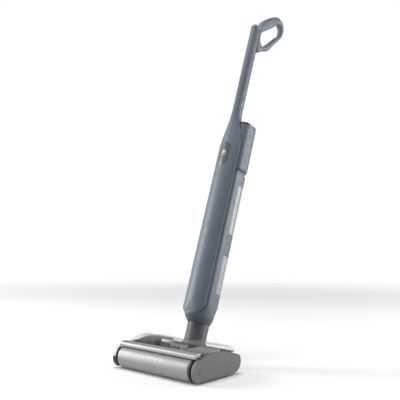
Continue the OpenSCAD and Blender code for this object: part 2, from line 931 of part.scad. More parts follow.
module handle_loop() {
    color(blue) on_upright() translate([0, 0, stick_top]) difference() {
        translate([-loop_w / 2, 0, 0]) rotate([90, 0, 90]) linear_extrude(loop_w) loop_shape();
        translate([loop_wall - loop_w / 2, 0, 0]) rotate([90, 0, 90])
            linear_extrude(loop_w - 2 * loop_wall) offset(delta = -loop_wall) loop_shape();
        for (d = button_at)
            button_place(d) translate([0, 0, -4]) cylinder(r = button_r + button_clear, h = 20);
    }
}

// The thicker top bar of the loop, round at both ends.
module grip_bar(r) {
    translate(loop_pts[0]) rotate(grip_dir) {
        translate([16, -r]) square([grip_len - 32, 2 * r]);
        translate([16, 0]) circle(r);
        translate([grip_len - 16, 0]) circle(r);
    }
}

// Puts a part on the top bar's upper face, d along the bar from its front corner.
module button_place(d) {
    translate([0, loop_pts[0][0] + d * cos(grip_dir), loop_pts[0][1] + d * sin(grip_dir)])
        rotate([grip_dir, 0, 0]) translate([0, 0, grip_t / 2]) children();
}

module button(d, c) {
    color(c) on_upright() translate([0, 0, stick_top]) button_place(d)
        translate([0, 0, button_travel - 3.9]) cylinder(r = button_r, h = 3.3);
}

module power_button() {
    button(button_at[0], [0.75, 0.76, 0.78]);
}

module mode_button() {
    button(button_at[1], [0.75, 0.76, 0.78]);
}

module clean_button() {
    button(button_at[2], [0.75, 0.76, 0.78]);
}

// Inside the upright

module suction_motor() {
    low = motor_s + 20;
    color(steel) on_upright() difference() {
        union() {
            translate([0, 4, low]) cylinder(r = 22, h = 46);
            translate([0, 4, low + 46 - eps]) cylinder(r = 12, h = 10);
            // mounting plate across the housing
            slab(low, low + 3) motor_section(shell_t);
        }
        translate([0, 4, low - 1]) cylinder(r = 14, h = 8);
    }
}

module impeller() {
    color(black) on_upright() translate([0, 4, motor_s + 5]) {
        cylinder(r = 19, h = 2.5);
        cylinder(r = 6, h = 12);
        for (a = [0 : 45 : 315]) rotate([0, 0, a]) block([5, -0.8, 2], [18.5, 0.8, 10]);
    }
}

module exhaust_filter() {
    color([0.9, 0.9, 0.88]) on_upright()
        slab(motor_top - rim_h - 22, motor_top - rim_h - 4) motor_section(shell_t);
}

module battery_pack() {
    color([0.2, 0.35, 0.6]) on_upright() {
        for (x = [-cell_pitch / 2, cell_pitch / 2], k = [0 : 2])
            translate([x, groove_v - cell_r + 0.1, cells_s + k * (cell_len + 1)])
                cylinder(r = cell_r, h = cell_len + 1);
        // end plates on the spine
        for (s = [cells_s - 2, cells_end])
            block([-16, groove_v - 15, s], [16, spine_v, s + 2]);
    }
}

module main_board() {
    color([0.1, 0.35, 0.2]) on_upright()
        block([-20, spine_v - board_t, cells_end + 8], [20, spine_v, cells_end + 158]);
}

module water_pump() {
    color(black) on_upright() {
        translate([0, -8, pump_s]) cylinder(r = 11, h = 12);
        translate([0, -8, pump_s + 12 - eps]) cylinder(r = 3, h = 4);
    }
}

// Tanks

// Outside of a tank between two heights: the window wall and the narrower inner part.
module tank_body(s0, s1, inset) {
    intersection() {
        slab(s0 + inset, s1 - inset) housing_section(inset);
        block([-100, window_v + inset, -10], [100, 100, 2000]);
    }
    intersection() {
        slab(s0 + inset, s1 - inset) housing_section(inset);
        block([-body_hw + 5 + tank_clear + inset, tank_front + inset, -10],
            [body_hw - 5 - tank_clear - inset, 0, 2000]);
    }
}

module tank_jar(s0, h) {
    color(clear) on_upright() difference() {
        tank_body(s0, s0 + h, 0);
        tank_body(s0, s0 + 2 * h, tank_t);
    }
}

module clean_tank() {
    tank_jar(clean_s, clean_h - clean_lid_h);
}

module clean_lid() {
    color(blue) on_upright() difference() {
        tank_body(clean_s + clean_h - clean_lid_h, clean_s + clean_h, 0);
        tank_body(clean_s, clean_s + clean_h, tank_t);
    }
}

module dirty_tank() {
    tank_jar(dirty_s, dirty_h - dirty_lid_h);
}

module dirty_lid() {
    color(blue) on_upright() difference() {
        tank_body(dirty_s + dirty_h - dirty_lid_h, dirty_s + dirty_h, 0);
        tank_body(dirty_s, dirty_s + dirty_h, tank_t + 1.5);
        block([-tab_w / 2 - button_clear, body_rear - tab_depth - button_travel - 0.5, tab_s - button_clear],
            [tab_w / 2 + button_clear, 80, tab_s + tab_h + button_clear]);
    }
}

// Float on its stem and a bleed plug, both hanging from the lid of the dirty tank.
module float_valve() {
    hang_s = dirty_s + dirty_h - tank_t - 1.5;
    color(black) on_upright() {
        translate([0, 6, dirty_s + 62]) cylinder(r = 8, h = 14);
        translate([0, 6, dirty_s + 62]) cylinder(r = 1.6, h = hang_s - dirty_s - 62);
        translate([28, 8, hang_s - 50]) cylinder(r = 6, h = 50);
    }
}

head_chassis();
head_deck();
base_plate();
base_screws();
front_strip();
spray_bar();
scraper();
squeegee();
suction_duct();
motor_cover();
deck_ribs();
roller_motor();
rotor();
drive_pulley();
drive_belt();
left_cap_lower();
left_cap_upper();
side_cap();
release_button();
side_bearing();
roller_core();
roller_sleeve();
roller_ring();
roller_hub();
roller_stub();
rear_wheel_left();
rear_wheel_right();
wheel_axles();
charging_contacts();
head_cover();
cover_latches();
yoke();
tilt_pins();
neck_collar();
suction_hose();
neck_tube();
tank_housing();
release_tab();
front_cover();
display_window();
display_board();
motor_housing();
exhaust_rim();
stick_back();
spine();
handle_loop();
power_button();
mode_button();
clean_button();
suction_motor();
impeller();
exhaust_filter();
battery_pack();
main_board();
water_pump();
clean_tank();
clean_lid();
dirty_tank();
dirty_lid();
float_valve();
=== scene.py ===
import json
import math
import bmesh
import bpy
import numpy as np
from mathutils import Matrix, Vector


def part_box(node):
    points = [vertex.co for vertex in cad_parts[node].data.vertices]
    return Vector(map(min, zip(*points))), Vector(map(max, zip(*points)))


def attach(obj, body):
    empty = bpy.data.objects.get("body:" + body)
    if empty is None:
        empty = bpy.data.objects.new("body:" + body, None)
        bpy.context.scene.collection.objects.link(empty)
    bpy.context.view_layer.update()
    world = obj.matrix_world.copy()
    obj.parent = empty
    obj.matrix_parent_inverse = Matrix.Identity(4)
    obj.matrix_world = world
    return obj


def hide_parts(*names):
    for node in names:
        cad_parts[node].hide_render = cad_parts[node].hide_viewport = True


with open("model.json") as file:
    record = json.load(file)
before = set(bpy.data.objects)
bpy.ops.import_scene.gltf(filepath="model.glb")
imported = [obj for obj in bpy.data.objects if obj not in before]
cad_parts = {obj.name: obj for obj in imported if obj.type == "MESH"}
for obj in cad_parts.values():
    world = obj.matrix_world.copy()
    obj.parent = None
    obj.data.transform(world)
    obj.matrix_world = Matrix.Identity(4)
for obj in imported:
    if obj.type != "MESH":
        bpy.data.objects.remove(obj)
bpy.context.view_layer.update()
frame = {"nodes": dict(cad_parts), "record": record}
nodes = frame["nodes"]
joints = {joint["name"]: joint for joint in frame["record"]["behaviour"]["joints"]}
mm = 0.001
print("frame loaded:", len(nodes), "nodes")

# The leaning upright's own directions: pivot, up the stick, rearwards across it.
pivot = np.array(joints["tilt"]["pos_m"])
upStick = np.array(joints["swivel"]["axis"])
acrossStick = np.array([0.0, upStick[2], -upStick[1]])


# Sideways, rearward and upward millimetres on the stick to metres in the frame.
def fromStick(side, back, up):
    side, back, up = np.broadcast_arrays(side, back, up)
    return pivot + (side[..., None] * np.array([1.0, 0.0, 0.0]) + back[..., None] * acrossStick
                    + up[..., None] * upStick) * mm


# A node's points as one array, in metres.
def nodePoints(name):
    mesh = nodes[name].data
    flat = np.empty(len(mesh.vertices) * 3)
    mesh.vertices.foreach_get("co", flat)
    return flat.reshape(-1, 3)


# A node's low and high corners along the stick's directions, in millimetres.
def stickBox(name):
    points = (nodePoints(name) - pivot) / mm
    local = np.stack([points[:, 0], points @ acrossStick, points @ upStick], axis=1)
    return local.min(axis=0), local.max(axis=0)


# Rises from 0 at low to 1 at high: three times the share squared less twice its cube.
def smoothStep(value, low, high):
    share = np.clip((value - low) / (high - low), 0.0, 1.0)
    return share * share * (3.0 - 2.0 * share)


# A cubic through the points, each slope being half the step between its neighbours, cut into even lengths.
def smoothCurve(points, count, closed=False):
    points = np.asarray(points, float)
    if closed:
        ring = np.vstack([points[-1:], points, points[:2]])
    else:
        ring = np.vstack([2 * points[:1] - points[1:2], points, 2 * points[-1:] - points[-2:-1]])
    fine = []
    share = np.linspace(0.0, 1.0, 24, endpoint=False)[:, None]
    for first in range(len(ring) - 3):
        a, b, c, d = ring[first:first + 4]
        fine.append(0.5 * (2 * b + (c - a) * share + (2 * a - 5 * b + 4 * c - d) * share ** 2
                           + (3 * b - a - 3 * c + d) * share ** 3))
    fine = np.vstack(fine + [ring[-2:-1]])
    length = np.concatenate([[0.0], np.cumsum(np.linalg.norm(np.diff(fine, axis=0), axis=1))])
    wanted = np.linspace(0.0, length[-1], count + 1)[:-1] if closed else np.linspace(0.0, length[-1], count)
    return np.stack([np.interp(wanted, length, fine[:, axis]) for axis in range(fine.shape[1])], axis=1)


# A mesh piece from a grid of points; seams and poles are closed and normals face out.
def gridPiece(name, points, closedRows=False, closedColumns=False, capEnds=False, keep=None, flip=False):
    rows, columns = points.shape[:2]
    index = np.arange(rows * columns).reshape(rows, columns)
    down = np.roll(index, -1, axis=0) if closedRows else index[1:]
    top = index if closedRows else index[:-1]
    if closedColumns:
        faces = np.stack([top, np.roll(top, -1, axis=1), np.roll(down, -1, axis=1), down], axis=-1)
    else:
        faces = np.stack([top[:, :-1], top[:, 1:], down[:, 1:], down[:, :-1]], axis=-1)
    if keep is not None:
        faces = faces[keep]
    faces = faces.reshape(-1, 4)
    if flip:
        faces = faces[:, ::-1]
    faces = faces.tolist()
    if capEnds:
        faces.append(index[0].tolist()[::-1] if not flip else index[0].tolist())
        faces.append(index[-1].tolist() if not flip else index[-1].tolist()[::-1])
    return meshPiece(name, points.reshape(-1, 3), faces)


# Points and faces made a smooth mesh, with doubles merged and loose points taken out.
def meshPiece(name, points, faces, turnOut=True):
    mesh = bpy.data.meshes.new(name)
    mesh.from_pydata(points.tolist(), [], faces)
    work = bmesh.new()
    work.from_mesh(mesh)
    bmesh.ops.remove_doubles(work, verts=work.verts, dist=2e-6)
    bmesh.ops.dissolve_degenerate(work, edges=work.edges, dist=1e-7)
    loose = [vert for vert in work.verts if not vert.link_faces]
    bmesh.ops.delete(work, geom=loose, context="VERTS")
    if turnOut:
        bmesh.ops.recalc_face_normals(work, faces=work.faces)
    work.to_mesh(mesh)
    work.free()
    mesh.shade_smooth()
    piece = bpy.data.objects.new(name, mesh)
    bpy.context.scene.collection.objects.link(piece)
    return piece


# Gives a piece its material, its body and the nodes it stands for.
def settle(piece, material, body, stands=(), sharp=None):
    piece.data.materials.clear()
    piece.data.materials.append(material)
    if sharp is not None:
        piece.data.set_sharp_from_angle(angle=math.radians(sharp))
    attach(piece, body)
    if stands:
        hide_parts(*stands)
    return piece


# A CAD node keeps its shape and gets a finish and, where its edges show, a small round.
def dress(name, material, edge=0.0):
    node = nodes[name]
    for place in node.material_slots:
        place.material = material
    if edge:
        weld = node.modifiers.new("weld", "WELD")
        weld.merge_threshold = 2e-6
        bevel = node.modifiers.new("edge", "BEVEL")
        bevel.width = edge * mm
        bevel.segments = 3
        bevel.limit_method = "ANGLE"
        bevel.angle_limit = math.radians(28)
        bevel.harden_normals = False


# Moulded plastic: slow tone drift, fine spark-erosion grain and a few rubbed patches.
def plastic(name, colour, rough=0.42, grain=0.05, grainSize=2600.0, drift=0.05, coat=0.0, wear=0.08,
            metal=0.0, sheen=0.0):
    material = bpy.data.materials.new(name)
    material.use_nodes = True
    tree = material.node_tree
    shader = tree.nodes["Principled BSDF"]
    add, link = tree.nodes.new, tree.links.new
    place = add("ShaderNodeTexCoord")
    slow = add("ShaderNodeTexNoise")
    slow.inputs["Scale"].default_value = 14.0
    slow.inputs["Detail"].default_value = 4.0
    link(place.outputs["Object"], slow.inputs["Vector"])
    tone = add("ShaderNodeValToRGB")
    tone.color_ramp.elements[0].position = 0.3
    tone.color_ramp.elements[1].position = 0.7
    low = [channel * (1.0 - drift) for channel in colour]
    high = [min(1.0, channel * (1.0 + drift)) for channel in colour]
    tone.color_ramp.elements[0].color = (*low, 1.0)
    tone.color_ramp.elements[1].color = (*high, 1.0)
    link(slow.outputs["Fac"], tone.inputs["Fac"])
    link(tone.outputs["Color"], shader.inputs["Base Color"])
    rub = add("ShaderNodeTexNoise")
    rub.inputs["Scale"].default_value = 55.0
    rub.inputs["Detail"].default_value = 6.0
    rub.inputs["Roughness"].default_value = 0.65
    link(place.outputs["Object"], rub.inputs["Vector"])
    gloss = add("ShaderNodeMapRange")
    gloss.inputs["From Min"].default_value = 0.3
    gloss.inputs["From Max"].default_value = 0.7
    gloss.inputs["To Min"].default_value = max(0.02, rough - wear)
    gloss.inputs["To Max"].default_value = min(1.0, rough + wear)
    link(rub.outputs["Fac"], gloss.inputs["Value"])
    link(gloss.outputs["Result"], shader.inputs["Roughness"])
    fine = add("ShaderNodeTexNoise")
    fine.inputs["Scale"].default_value = grainSize
    fine.inputs["Detail"].default_value = 2.0
    link(place.outputs["Object"], fine.inputs["Vector"])
    bump = add("ShaderNodeBump")
    bump.inputs["Strength"].default_value = grain
    bump.inputs["Distance"].default_value = 0.0004
    link(fine.outputs["Fac"], bump.inputs["Height"])
    link(bump.outputs["Normal"], shader.inputs["Normal"])
    shader.inputs["Metallic"].default_value = metal
    shader.inputs["Coat Weight"].default_value = coat
    shader.inputs["Coat Roughness"].default_value = 0.12
    shader.inputs["Sheen Weight"].default_value = sheen
    return material


# Clear moulded plastic: thin, faintly tinted, with flow marks and fine scratches.
def clearPlastic(name, tint, rough=0.05, alpha=0.3, rim=0.0, metal=0.0):
    material = bpy.data.materials.new(name)
    material.use_nodes = True
    material.surface_render_method = "DITHERED"
    tree = material.node_tree
    shader = tree.nodes["Principled BSDF"]
    add, link = tree.nodes.new, tree.links.new
    place = add("ShaderNodeTexCoord")
    scratch = add("ShaderNodeTexNoise")
    scratch.inputs["Scale"].default_value = 120.0
    scratch.inputs["Detail"].default_value = 6.0
    stretch = add("ShaderNodeMapping")
    stretch.inputs["Scale"].default_value = (0.15, 1.0, 1.0)
    link(place.outputs["Object"], stretch.inputs["Vector"])
    link(stretch.outputs["Vector"], scratch.inputs["Vector"])
    gloss = add("ShaderNodeMapRange")
    gloss.inputs["To Min"].default_value = rough * 0.6
    gloss.inputs["To Max"].default_value = rough * 1.6
    link(scratch.outputs["Fac"], gloss.inputs["Value"])
    link(gloss.outputs["Result"], shader.inputs["Roughness"])
    flow = add("ShaderNodeTexNoise")
    flow.inputs["Scale"].default_value = 30.0
    link(place.outputs["Object"], flow.inputs["Vector"])
    tone = add("ShaderNodeValToRGB")
    tone.color_ramp.elements[0].color = (*[channel * 0.95 for channel in tint], 1.0)
    tone.color_ramp.elements[1].color = (*tint, 1.0)
    link(flow.outputs["Fac"], tone.inputs["Fac"])
    link(tone.outputs["Color"], shader.inputs["Base Color"])
    bump = add("ShaderNodeBump")
    bump.inputs["Strength"].default_value = 0.04
    bump.inputs["Distance"].default_value = 0.0005
    link(flow.outputs["Fac"], bump.inputs["Height"])
    link(bump.outputs["Normal"], shader.inputs["Normal"])
    shader.inputs["IOR"].default_value = 1.49
    if rim:
        graze = add("ShaderNodeLayerWeight")
        graze.inputs["Blend"].default_value = 0.35
        cover = add("ShaderNodeMapRange")
        cover.interpolation_type = "SMOOTHSTEP"
        cover.inputs["From Min"].default_value = 0.45
        cover.inputs["From Max"].default_value = 1.0
        cover.inputs["To Min"].default_value = alpha
        cover.inputs["To Max"].default_value = rim
        link(graze.outputs["Facing"], cover.inputs["Value"])
        link(cover.outputs["Result"], shader.inputs["Alpha"])
    else:
        shader.inputs["Alpha"].default_value = alpha
    shader.inputs["Metallic"].default_value = metal
    return material


# Brushed or drawn metal with streaks along the part.
def metalFinish(name, colour, rough=0.3, along=(1.0, 30.0, 30.0)):
    material = plastic(name, colour, rough=rough, grain=0.04, grainSize=900.0, drift=0.06, wear=0.07,
                       metal=1.0)
    tree = material.node_tree
    place = next(node for node in tree.nodes if node.type == "TEX_COORD")
    turn = tree.nodes.new("ShaderNodeMapping")
    turn.inputs["Scale"].default_value = along
    tree.links.new(place.outputs["Object"], turn.inputs["Vector"])
    for node in tree.nodes:
        if node.type == "TEX_NOISE":
            tree.links.new(turn.outputs["Vector"], node.inputs["Vector"])
    return material


# Short dense pile: tufts lying along the roller and soft tips.
def pileFinish(name, colour):
    material = plastic(name, colour, rough=0.46, grain=0.0, drift=0.03, wear=0.05, sheen=0.15, metal=0.55)
    tree = material.node_tree
    shader = tree.nodes["Principled BSDF"]
    add, link = tree.nodes.new, tree.links.new
    place = next(node for node in tree.nodes if node.type == "TEX_COORD")
    stretch = add("ShaderNodeMapping")
    stretch.inputs["Scale"].default_value = (900.0, 1500.0, 1500.0)
    link(place.outputs["Object"], stretch.inputs["Vector"])
    tuft = add("ShaderNodeTexNoise")
    tuft.inputs["Scale"].default_value = 1.0
    tuft.inputs["Detail"].default_value = 3.0
    link(stretch.outputs["Vector"], tuft.inputs["Vector"])
    nap = add("ShaderNodeTexNoise")
    nap.inputs["Scale"].default_value = 70.0
    nap.inputs["Detail"].default_value = 3.0
    link(place.outputs["Object"], nap.inputs["Vector"])
    both = add("ShaderNodeMath")
    both.operation = "MULTIPLY_ADD"
    both.inputs[1].default_value = 0.35
    link(nap.outputs["Fac"], both.inputs[0])
    link(tuft.outputs["Fac"], both.inputs[2])
    bump = add("ShaderNodeBump")
    bump.inputs["Strength"].default_value = 0.10
    bump.inputs["Distance"].default_value = 0.0004
    link(both.outputs["Value"], bump.inputs["Height"])
    link(bump.outputs["Normal"], shader.inputs["Normal"])
    shader.inputs["Sheen Roughness"].default_value = 0.4
    return material


colours = {
    "shell": (0.105, 0.132, 0.165),
    "shellDark": (0.075, 0.095, 0.12),
    "neck": (0.085, 0.085, 0.087),
    "cap": (0.12, 0.121, 0.123),
    "headInside": (0.035, 0.035, 0.036),
    "silver": (0.36, 0.36, 0.365),
    "pile": (0.27, 0.27, 0.272),
    "black": (0.012, 0.012, 0.013),
}
shellBlue = plastic("shellBlue", colours["shell"], rough=0.50, grain=0.008)
shellBlueDark = plastic("shellBlueDark", colours["shellDark"], rough=0.50, grain=0.008)
neckGrey = plastic("neckGrey", colours["neck"], rough=0.52, grain=0.02)
capGrey = plastic("capGrey", colours["cap"], rough=0.55, grain=0.02)
headGrey = plastic("headGrey", colours["headInside"], rough=0.40, grain=0.03, grainSize=1500.0)
shelfGrey = plastic("shelfGrey", (0.045, 0.045, 0.047), rough=0.48, grain=0.03)
blackPlastic = plastic("blackPlastic", colours["black"], rough=0.42, grain=0.02)
glossBlack = plastic("glossBlack", (0.075, 0.08, 0.085), rough=0.32, grain=0.006, coat=0.3, wear=0.03)
silverTrim = plastic("silverTrim", colours["silver"], rough=0.45, grain=0.004, metal=0.6, wear=0.02,
                     drift=0.03)
rubberBlack = plastic("rubberBlack", (0.014, 0.014, 0.014), rough=0.62, grain=0.12, grainSize=1200.0)
buttonWhite = plastic("buttonWhite", (0.50, 0.51, 0.53), rough=0.30, grain=0.03)
steelFinish = metalFinish("steelFinish", (0.50, 0.50, 0.51))
contactGold = metalFinish("contactGold", (0.66, 0.47, 0.16), rough=0.25)
cellBlue = plastic("cellBlue", (0.05, 0.13, 0.30), rough=0.25, grain=0.02, coat=0.3)
boardGreen = plastic("boardGreen", (0.02, 0.11, 0.05), rough=0.35, grain=0.10, grainSize=400.0)
filterWhite = plastic("filterWhite", (0.72, 0.72, 0.70), rough=0.85, grain=0.30, grainSize=700.0)
pile = pileFinish("pileFinish", colours["pile"])
clearCover = clearPlastic("clearCover", (0.30, 0.31, 0.32), rough=0.05, alpha=0.06, rim=0.55)
clearTank = clearPlastic("clearTank", (0.40, 0.40, 0.385), rough=0.30, alpha=0.66)
clearEnd = clearPlastic("clearEnd", (0.66, 0.69, 0.70), rough=0.10, alpha=0.55)
print("materials ready")

coverLow, coverHigh = stickBox("front_cover")
housingLow, housingHigh = stickBox("tank_housing")
motorHigh = stickBox("motor_housing")[1]
stickHigh = stickBox("stick_back")[1]
displayLow, displayHigh = stickBox("display_window")
dirtyLow = stickBox("dirty_tank")[0]
dirtyLidHigh = stickBox("dirty_lid")[1]
cleanLow = stickBox("clean_tank")[0]
cleanLidHigh = stickBox("clean_lid")[1]

# front cover: a crowned panel with a rolled bead all round its edge
coverValues = {
    "endRadius": 30.0,       # round of the lower end
    "flareStart": 584.0,     # where the panel starts to narrow
    "flareLength": 128.0,    # height over which it narrows
    "stickHalf": 13.0,       # half width on the stick
    "bodyDepth": 22.0,       # front face to groove on the body
    "stickDepth": 12.5,      # the same on the stick
    "endDepth": 8.0,         # the same under the lower end
    "crown": 0.76,           # sink of the face at share 1 if the crown ran on
    "rise": 5.0,             # how far its round top stands over the CAD one
}
# share of half width, share of depth, from the middle round the bead to the groove
coverProfile = [[0.0, 0.0], [0.2, 0.030], [0.4, 0.121], [0.55, 0.229], [0.64, 0.311], [0.69, 0.362],
                [0.715, 0.398], [0.76, 0.446], [0.82, 0.515], [0.88, 0.600], [0.935, 0.705], [0.975, 0.82],
                [0.995, 0.905], [0.993, 0.955], [0.975, 0.99], [0.945, 1.0], [0.86, 1.0]]
bodyHalf = coverHigh[0]
coverFront = coverLow[1]
coverBottom, coverTop = coverLow[2], coverHigh[2] + coverValues["rise"]
stickTop = coverHigh[2]


# Half width of the panel at a height: the body's, falling to the stick's by a smooth step.
def coverHalf(up):
    fall = smoothStep(up, coverValues["flareStart"], coverValues["flareStart"] + coverValues["flareLength"])
    return bodyHalf + (coverValues["stickHalf"] - bodyHalf) * fall


# Depth from the panel's face to its groove at a height, falling in the same way.
def coverDepth(up):
    fall = smoothStep(up, coverValues["flareStart"], coverValues["flareStart"] + coverValues["flareLength"])
    return coverValues["bodyDepth"] + (coverValues["stickDepth"] - coverValues["bodyDepth"]) * fall


# The outline seen from the front, right half from the bottom middle to the top middle.
def coverOutline():
    radius, stick = coverValues["endRadius"], coverValues["stickHalf"]
    flat = np.linspace(0.0, bodyHalf - radius, 5)[:-1]
    turn = np.radians(np.linspace(-90.0, 0.0, 22))
    start = coverBottom + radius
    low = np.stack([bodyHalf - radius + radius * np.cos(turn), start + radius * np.sin(turn)], axis=1)
    level = np.unique(np.concatenate([
        np.linspace(start + 3.0, coverValues["flareStart"], 40),
        np.linspace(coverValues["flareStart"], coverValues["flareStart"] + coverValues["flareLength"], 40),
        np.linspace(coverValues["flareStart"] + coverValues["flareLength"], coverTop - stick, 30)]))
    side = np.stack([coverHalf(level), level], axis=1)
    turn = np.radians(np.linspace(0.0, 90.0, 14))[1:]
    high = np.stack([stick * np.cos(turn), coverTop - stick + stick * np.sin(turn)], axis=1)
    right = np.vstack([np.stack([flat, np.full(4, coverBottom)], axis=1), low, side, high])
    left = right[::-1][1:-1] * np.array([-1.0, 1.0])
    return np.vstack([right, left])


# Each outline point is joined to the middle line; the profile gives its shares of the way out and the depth.
def buildFrontCover():
    outline = coverOutline()
    profile = smoothCurve(coverProfile, 46)
    low = coverBottom + bodyHalf
    high = coverTop - coverValues["stickHalf"]
    middle = np.stack([np.zeros(len(outline)), np.clip(outline[:, 1], low, high)], axis=1)
    share, sink = profile[:, 0][None, :], profile[:, 1][None, :]
    flat = middle[:, None, :] + (outline - middle)[:, None, :] * share[..., None]
    rise = smoothStep(outline[:, 1], coverBottom - 6.0, coverBottom + 34.0)
    depth = coverDepth(outline[:, 1])
    depth = coverValues["endDepth"] + (depth - coverValues["endDepth"]) * rise
    depth = np.where(outline[:, 1] > high, depth * 0.9, depth)[:, None]
    back = coverFront + depth * sink
    points = fromStick(flat[..., 0], back, flat[..., 1])
    piece = gridPiece("frontCover", points, closedRows=True)
    return settle(piece, shellBlue, "upright", stands=("front_cover",))


# Depth of the panel's face at a place on it: depth times crown times the share of half width squared.
def coverFace(side, up):
    share = side / coverHalf(up)
    return coverFront + coverDepth(up) * coverValues["crown"] * share ** 2


buildFrontCover()

# display: dark oval window set in the panel, with plain bars and ticks for a level reading
displayValues = {"proud": 0.2, "rim": 0.8}
displayMiddle = (displayLow[2] + displayHigh[2]) / 2
displayHalfWide = displayHigh[0]
displayHalfHigh = (displayHigh[2] - displayLow[2]) / 2


# Rings of a long oval, two half circles and two straights, laid on the face and turned in at the edge.
def ovalPatch(name, halfWide, halfHigh, proud, sink, material, stands=()):
    turn = np.linspace(0.0, 2 * np.pi, 96, endpoint=False)
    straight = halfHigh - halfWide
    side = halfWide * np.cos(turn)
    up = halfWide * np.sin(turn) + np.sign(np.sin(turn)) * straight
    ring = np.array([0.0, 0.3, 0.6, 0.85, 0.955, 0.985, 1.0, 1.0])[:, None]
    drop = np.array([0.0, 0.0, 0.0, 0.0, 0.0, 0.12, 0.35, 1.0])[:, None]
    sideGrid, upGrid = ring * side, displayMiddle + ring * up
    back = coverFace(sideGrid, upGrid) - proud + drop * sink
    piece = gridPiece(name, fromStick(sideGrid, back, upGrid), closedColumns=True)
    return settle(piece, material, "upright", stands=stands)


ovalPatch("displayFrame", displayHalfWide, displayHalfHigh, 0.12, 1.2, shellBlueDark)
rim = displayValues["rim"]
ovalPatch("displayPane", displayHalfWide - rim, displayHalfHigh - rim, displayValues["proud"] + 0.15, 1.4,
          glossBlack, stands=("display_window",))

# lit marks: two seven-stroke numerals and a short level bar beneath
markValues = {"width": 4.4, "height": 8.2, "stroke": 1.5, "gap": 2.6, "numerals": (8, 5), "rise": 4.0}
strokes = {8: "abcdefg", 5: "afgcd"}
strokePlaces = {"a": (0.5, 1.0, 0), "g": (0.5, 0.5, 0), "d": (0.5, 0.0, 0),
                "f": (0.0, 0.75, 1), "b": (1.0, 0.75, 1), "e": (0.0, 0.25, 1), "c": (1.0, 0.25, 1)}
markLight = plastic("markLight", (0.62, 0.63, 0.64), rough=0.35, grain=0.0, drift=0.02)
markLight.node_tree.nodes["Principled BSDF"].inputs["Emission Color"].default_value = (0.8, 0.82, 0.84, 1.0)
markLight.node_tree.nodes["Principled BSDF"].inputs["Emission Strength"].default_value = 0.12


# Middle and half size of each bar: the strokes of each numeral, then three ticks.
def markBars():
    width, height, stroke = markValues["width"], markValues["height"], markValues["stroke"]
    bars = []
    first = -(width * 2 + markValues["gap"]) / 2
    for place, numeral in enumerate(markValues["numerals"]):
        start = first + place * (width + markValues["gap"])
        for letter in strokes[numeral]:
            across, high, upright = strokePlaces[letter]
            centre = (start + across * width, displayMiddle + markValues["rise"] + (high - 0.5) * height)
            half = (stroke / 2, height / 4) if upright else (width / 2, stroke / 2)
            bars.append((centre, half))
    for step in range(3):
        bars.append(((-5.0 + step * 5.0, displayMiddle - 6.5), (1.8, 0.5)))
    return bars


# Each bar is two quads laid on the panel's face, just in front of the window.
def buildMarks():
    points, faces = [], []
    for (side, up), (halfSide, halfUp) in markBars():
        grid = np.array([[-1, -1], [0, -1], [1, -1], [-1, 1], [0, 1], [1, 1]]) * [halfSide, halfUp]
        sides, ups = side + grid[:, 0], up + grid[:, 1]
        first = len(points)
        points.extend(fromStick(sides, coverFace(sides, ups) - 0.47, ups).tolist())
        faces.extend([[first, first + 1, first + 4, first + 3], [first + 1, first + 2, first + 5, first + 4]])
    piece = meshPiece("displayMarks", np.array(points), faces, turnOut=False)
    return settle(piece, markLight, "upright")


buildMarks()
print("front cover and display built")

# tank housing: one shell from the neck to the notch, open where the tanks sit
housingValues = {
    "front": -30.0,          # front face of the section, behind the panel
    "frontRound": 10.0,
    "rearRound": 27.0,
    "wall": 2.0,
    "bowlTop": 92.0,         # height over which the bowl rounds in
    "bowlHalf": 31.0,        # half width, rear and front reach of the bowl's foot
    "bowlBelly": 18.5,       # how much further forward the bowl reaches at its top
    "bowlPower": 1.7,        # roundness of the bowl's sides and rear
    "bellyPower": 1.45,      # roundness of its front
    "cheekStart": 96.0,      # from here the oval turns to the D
    "cheekTop": 124.0,
    "windowFront": -4.0,     # front edge of the tank windows
    "windowGap": 0.4,        # gap over and under each tank
    "shoulder": 4.0,         # round at the top
    "topInset": 9.0,
}


# Section with rounder rear than front corners, started and ended at the middle of the front.
def dOutline(half, front, rear, frontRound, rearRound, inset):
    fr, rr = max(frontRound - inset, 0.5), max(rearRound - inset, 0.5)
    w, f, r = half - inset, front + inset, rear - inset
    turn = np.radians(np.linspace(0.0, 90.0, 15))
    right = np.vstack([
        np.stack([np.linspace(0.0, w - fr, 10)[:-1], np.full(9, f)], axis=1),
        np.stack([w - fr + fr * np.sin(turn), f + fr - fr * np.cos(turn)], axis=1),
        np.stack([np.full(10, w), np.linspace(f + fr, r - rr, 12)[1:-1]], axis=1),
        np.stack([w - rr + rr * np.cos(turn), r - rr + rr * np.sin(turn)], axis=1),
        np.stack([np.linspace(w - rr, 0.0, 8)[1:], np.full(7, r)], axis=1)])
    left = right[::-1][1:-1] * np.array([-1.0, 1.0])
    return np.vstack([right, left])


# The same points pulled on to an oval of given half width, front and rear reach.
def ovalOutline(like, half, front, rear):
    turn = np.arctan2(like[:, 1], like[:, 0])
    reach = np.where(like[:, 1] < 0.0, front, rear)
    return np.stack([half * np.cos(turn), reach * np.sin(turn)], axis=1)


